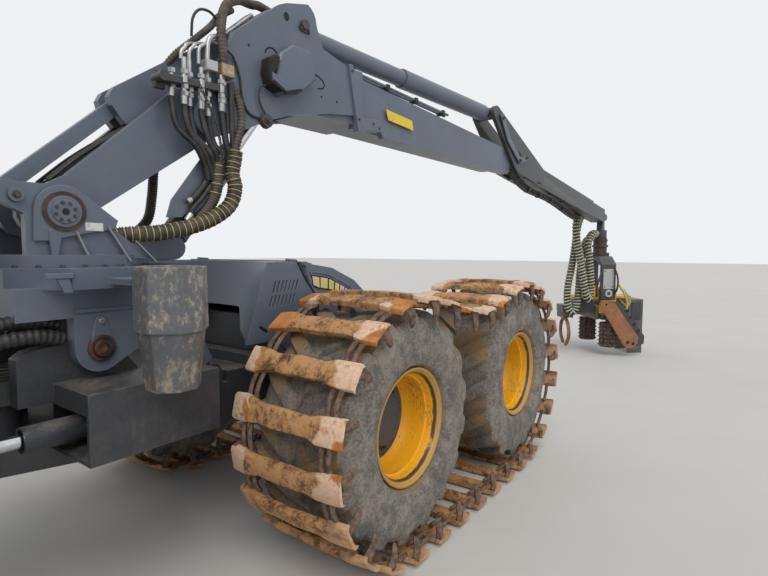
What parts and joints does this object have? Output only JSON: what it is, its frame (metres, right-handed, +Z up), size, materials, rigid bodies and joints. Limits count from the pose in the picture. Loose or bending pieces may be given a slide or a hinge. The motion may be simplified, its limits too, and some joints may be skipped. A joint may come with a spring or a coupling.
{
  "type": "forestry harvester",
  "caption": "Articulated forestry harvester with tracked front bogie, tilting parallel crane, telescopic jib and a hanging harvester head with rollers and delimbing knives.",
  "frame": {"origin": "on the ground under the middle of the whole machine's box", "axes": "+X forwards towards the harvester head, +Y to the machine's left, +Z up"},
  "size_m": [14.1331, 3.06, 3.6575],
  "materials": {
    "cab_paint": "satin dark grey paint",
    "crane_grey": "satin graphite paint, dusty",
    "engine_block": "plain cast block",
    "frame_grey": "satin dark grey paint, dusty",
    "head_yellow": "worn yellow paint",
    "rim_yellow": "satin yellow-orange paint",
    "rod_chrome": "hard chrome",
    "seat_fabric": "woven cloth",
    "shroud_plastic": "matt, clay-stained",
    "track_steel": "rusty forged steel",
    "tyre_rubber": "matt, dusty",
    "window_glass": "clear, lightly tinted",
    "worn_steel": "worn and rusty steel"
  },
  "bodies": {
    "front_frame": {"front_frame": "frame_grey", "hydraulic_tank": "frame_grey", "front_bogie": "frame_grey", "track_right": "track_steel", "track_left": "track_steel", "front_tyre_rear_right": "tyre_rubber", "front_rim_rear_right": "rim_yellow", "front_tyre_front_right": "tyre_rubber", "front_rim_front_right": "rim_yellow", "front_tyre_rear_left": "tyre_rubber", "front_rim_rear_left": "rim_yellow", "front_tyre_front_left": "tyre_rubber", "front_rim_front_left": "rim_yellow"},
    "rear_frame": {"rear_frame": "frame_grey", "rear_bogie": "frame_grey", "cab_shell": "cab_paint", "cab_glass": "window_glass", "cab_seat": "seat_fabric", "engine_block": "engine_block"},
    "tilt_base": {"tilt_base": "crane_grey", "hose_shroud": "shroud_plastic"},
    "rotator": {"rotator": "worn_steel", "head_hanger": "frame_grey"},
    "rear_wheel_rear_right": {"rear_tyre_rear_right": "tyre_rubber", "rear_rim_rear_right": "rim_yellow"},
    "rear_wheel_front_right": {"rear_tyre_front_right": "tyre_rubber", "rear_rim_front_right": "rim_yellow"},
    "rear_wheel_rear_left": {"rear_tyre_rear_left": "tyre_rubber", "rear_rim_rear_left": "rim_yellow"},
    "rear_wheel_front_left": {"rear_tyre_front_left": "tyre_rubber", "rear_rim_front_left": "rim_yellow"},
    "cab_door": {"cab_door": "cab_paint"},
    "delimbing_knife_left": {"delimbing_knife_left": "worn_steel"},
    "delimbing_knife_right": {"delimbing_knife_right": "worn_steel"},
    "engine_hood": {"engine_hood": "crane_grey"},
    "feed_roller_left": {"feed_roller_left": "worn_steel"},
    "feed_roller_right": {"feed_roller_right": "worn_steel"},
    "front_hood": {"front_hood": "crane_grey"},
    "head_body": {"head_body": "head_yellow"},
    "jib": {"jib": "crane_grey"},
    "lift_arm": {"lift_arm": "crane_grey"},
    "lift_cylinder_barrel": {"lift_cylinder_barrel": "crane_grey"},
    "lift_cylinder_rod": {"lift_cylinder_rod": "rod_chrome"},
    "luff_cylinder_barrel": {"luff_cylinder_barrel": "crane_grey"},
    "luff_cylinder_rod": {"luff_cylinder_rod": "crane_grey"},
    "main_boom": {"main_boom": "crane_grey"},
    "roller_arm_left": {"roller_arm_left": "frame_grey"},
    "roller_arm_right": {"roller_arm_right": "frame_grey"},
    "steering_barrel_left": {"steering_barrel_left": "frame_grey"},
    "steering_barrel_right": {"steering_barrel_right": "frame_grey"},
    "steering_rod_left": {"steering_rod_left": "rod_chrome"},
    "steering_rod_right": {"steering_rod_right": "rod_chrome"},
    "telescope": {"telescope": "crane_grey"},
    "tie_rod": {"tie_rod": "crane_grey"},
    "tilt_cylinder_barrels": {"tilt_cylinder_barrels": "crane_grey"},
    "tilt_cylinder_rods": {"tilt_cylinder_rods": "rod_chrome"},
    "tip_link": {"tip_link": "crane_grey"},
    "turret": {"turret": "crane_grey"}
  },
  "joints": [
    {"name": "frame_steer", "type": "hinge", "parent": "front_frame", "child": "rear_frame", "pos_m": [-2.87681, 0, 1.03], "axis": [0, 0, 1], "range_deg": [-40, 40]},
    {"name": "steering_barrel_right_swing", "type": "hinge", "parent": "front_frame", "child": "steering_barrel_right", "pos_m": [-2.11681, -0.47, 1.04], "axis": [0, 0, 1], "range_deg": [-17, 17]},
    {"name": "steering_rod_right_slide", "type": "slide", "parent": "steering_barrel_right", "child": "steering_rod_right", "axis": [-1, 0, 0], "range_m": [-0.34, 0.34]},
    {"name": "steering_barrel_left_swing", "type": "hinge", "parent": "front_frame", "child": "steering_barrel_left", "pos_m": [-2.11681, 0.47, 1.04], "axis": [0, 0, 1], "range_deg": [-17, 17]},
    {"name": "steering_rod_left_slide", "type": "slide", "parent": "steering_barrel_left", "child": "steering_rod_left", "axis": [-1, 0, 0], "range_m": [-0.34, 0.34]},
    {"name": "rear_wheel_rear_right_roll", "type": "hinge", "parent": "rear_frame", "child": "rear_wheel_rear_right", "pos_m": [-5.92681, -1.13, 0.72], "axis": [0, 1, 0], "continuous": true},
    {"name": "rear_wheel_front_right_roll", "type": "hinge", "parent": "rear_frame", "child": "rear_wheel_front_right", "pos_m": [-4.22681, -1.13, 0.72], "axis": [0, 1, 0], "continuous": true},
    {"name": "rear_wheel_rear_left_roll", "type": "hinge", "parent": "rear_frame", "child": "rear_wheel_rear_left", "pos_m": [-5.92681, 1.13, 0.72], "axis": [0, 1, 0], "continuous": true},
    {"name": "rear_wheel_front_left_roll", "type": "hinge", "parent": "rear_frame", "child": "rear_wheel_front_left", "pos_m": [-4.22681, 1.13, 0.72], "axis": [0, 1, 0], "continuous": true},
    {"name": "cab_door_swing", "type": "hinge", "parent": "rear_frame", "child": "cab_door", "pos_m": [-4.61681, -0.74, 1.56], "axis": [0, 0, -1], "range_deg": [0, 80]},
    {"name": "engine_hood_lift", "type": "hinge", "parent": "rear_frame", "child": "engine_hood", "pos_m": [-6.93681, 0, 1.46], "axis": [0, -1, 0], "range_deg": [0, 50]},
    {"name": "front_hood_lift", "type": "hinge", "parent": "front_frame", "child": "front_hood", "pos_m": [-0.17681, 0, 1.19], "axis": [0, 1, 0], "range_deg": [0, 45]},
    {"name": "crane_tilt", "type": "hinge", "parent": "front_frame", "child": "tilt_base", "pos_m": [-2.51681, 0, 1.4], "axis": [0, -1, 0], "range_deg": [-12, 12]},
    {"name": "tilt_barrels_swing", "type": "hinge", "parent": "front_frame", "child": "tilt_cylinder_barrels", "pos_m": [-1.81681, 0, 1.13], "axis": [0, -1, 0], "range_deg": [-2, 2]},
    {"name": "tilt_rods_slide", "type": "slide", "parent": "tilt_cylinder_barrels", "child": "tilt_cylinder_rods", "axis": [-0.4358, 0, 0.9], "range_m": [-0.12, 0.12]},
    {"name": "crane_slew", "type": "hinge", "parent": "tilt_base", "child": "turret", "pos_m": [-2.51681, 0, 1.8], "axis": [0, 0, 1], "range_deg": [-105, 114]},
    {"name": "arm_lift", "type": "hinge", "parent": "turret", "child": "lift_arm", "pos_m": [-2.62649, 0.00844, 2.07], "axis": [-0.0767, -0.9971, 0], "range_deg": [-30, 35]},
    {"name": "boom_knee", "type": "hinge", "parent": "lift_arm", "child": "main_boom", "pos_m": [-1.71917, -0.06138, 2.7], "axis": [-0.0767, -0.9971, 0], "range_deg": [-20, 17]},
    {"name": "tie_rod_swing", "type": "hinge", "parent": "turret", "child": "tie_rod", "pos_m": [-2.81593, 0.02302, 2.14], "axis": [-0.0767, -0.9971, 0], "range_deg": [-35, 40]},
    {"name": "lift_barrel_swing", "type": "hinge", "parent": "turret", "child": "lift_cylinder_barrel", "pos_m": [-1.91858, -0.04603, 1.9], "axis": [-0.0767, -0.9971, 0], "range_deg": [-31, 35]},
    {"name": "lift_rod_slide", "type": "slide", "parent": "lift_cylinder_barrel", "child": "lift_cylinder_rod", "axis": [0.5935, -0.0457, 0.8036], "range_m": [-0.27, 0.32]},
    {"name": "jib_luff", "type": "hinge", "parent": "main_boom", "child": "jib", "pos_m": [2.66786, -0.39894, 3], "axis": [-0.0767, -0.9971, 0], "range_deg": [-70, 8]},
    {"name": "luff_barrel_swing", "type": "hinge", "parent": "main_boom", "child": "luff_cylinder_barrel", "pos_m": [-0.97138, -0.11891, 3.54], "axis": [-0.0767, -0.9971, 0], "range_deg": [-2, 7]},
    {"name": "luff_rod_slide", "type": "slide", "parent": "luff_cylinder_barrel", "child": "luff_cylinder_rod", "axis": [0.997, -0.0767, -0.0065], "range_m": [-0.11, 0.87]},
    {"name": "telescope_slide", "type": "slide", "parent": "jib", "child": "telescope", "axis": [0.9883, -0.076, -0.1322], "range_m": [0, 1.7]},
    {"name": "tip_swing", "type": "hinge", "parent": "telescope", "child": "tip_link", "pos_m": [6.40681, -0.68664, 2.5], "axis": [0.0767, 0.9971, 0], "range_deg": [-60, 35]},
    {"name": "rotator_turn", "type": "hinge", "parent": "tip_link", "child": "rotator", "pos_m": [6.40681, -0.68664, 2.13], "axis": [0, 0, 1], "range_deg": [-170, 170]},
    {"name": "head_tilt", "type": "hinge", "parent": "rotator", "child": "head_body", "pos_m": [6.40681, -0.68664, 1.12], "axis": [0.766, 0.6428, 0], "range_deg": [-10, 90]},
    {"name": "roller_arm_right_swing", "type": "hinge", "parent": "head_body", "child": "roller_arm_right", "pos_m": [6.20764, -0.85376, 0.7], "axis": [-0.6428, 0.766, 0], "range_deg": [0, 35]},
    {"name": "feed_roller_right_turn", "type": "hinge", "parent": "roller_arm_right", "child": "feed_roller_right", "pos_m": [6.10039, -0.94376, 0.4], "axis": [0, 0, 1], "continuous": true},
    {"name": "delimbing_knife_right_swing", "type": "hinge", "parent": "head_body", "child": "delimbing_knife_right", "pos_m": [6.33021, -0.75092, 0.7], "axis": [-0.6428, 0.766, 0], "range_deg": [0, 50]},
    {"name": "roller_arm_left_swing", "type": "hinge", "parent": "head_body", "child": "roller_arm_left", "pos_m": [6.60598, -0.51952, 0.7], "axis": [0.6428, -0.766, 0], "range_deg": [0, 35]},
    {"name": "feed_roller_left_turn", "type": "hinge", "parent": "roller_arm_left", "child": "feed_roller_left", "pos_m": [6.71323, -0.42952, 0.4], "axis": [0, 0, 1], "continuous": true},
    {"name": "delimbing_knife_left_swing", "type": "hinge", "parent": "head_body", "child": "delimbing_knife_left", "pos_m": [6.48341, -0.62236, 0.7], "axis": [0.6428, -0.766, 0], "range_deg": [0, 50]}
  ],
  "couplings": [
    {"joint": "steering_barrel_right_swing", "follows": "frame_steer", "ratio": 0.38402},
    {"joint": "steering_rod_right_slide", "follows": "frame_steer", "m_per_rad": -0.4632},
    {"joint": "steering_barrel_left_swing", "follows": "frame_steer", "ratio": 0.38402},
    {"joint": "steering_rod_left_slide", "follows": "frame_steer", "m_per_rad": 0.4632},
    {"joint": "tilt_barrels_swing", "follows": "crane_tilt", "ratio": -0.05238},
    {"joint": "tilt_rods_slide", "follows": "crane_tilt", "m_per_rad": 0.5097},
    {"joint": "boom_knee", "follows": "arm_lift", "ratio": -0.52525},
    {"joint": "tie_rod_swing", "follows": "arm_lift", "ratio": 1.1049},
    {"joint": "lift_barrel_swing", "follows": "arm_lift", "ratio": 0.9678},
    {"joint": "lift_rod_slide", "follows": "arm_lift", "m_per_rad": 0.49542},
    {"joint": "luff_barrel_swing", "follows": "jib_luff", "ratio": -0.07691},
    {"joint": "luff_rod_slide", "follows": "jib_luff", "m_per_rad": -0.69835}
  ]
}
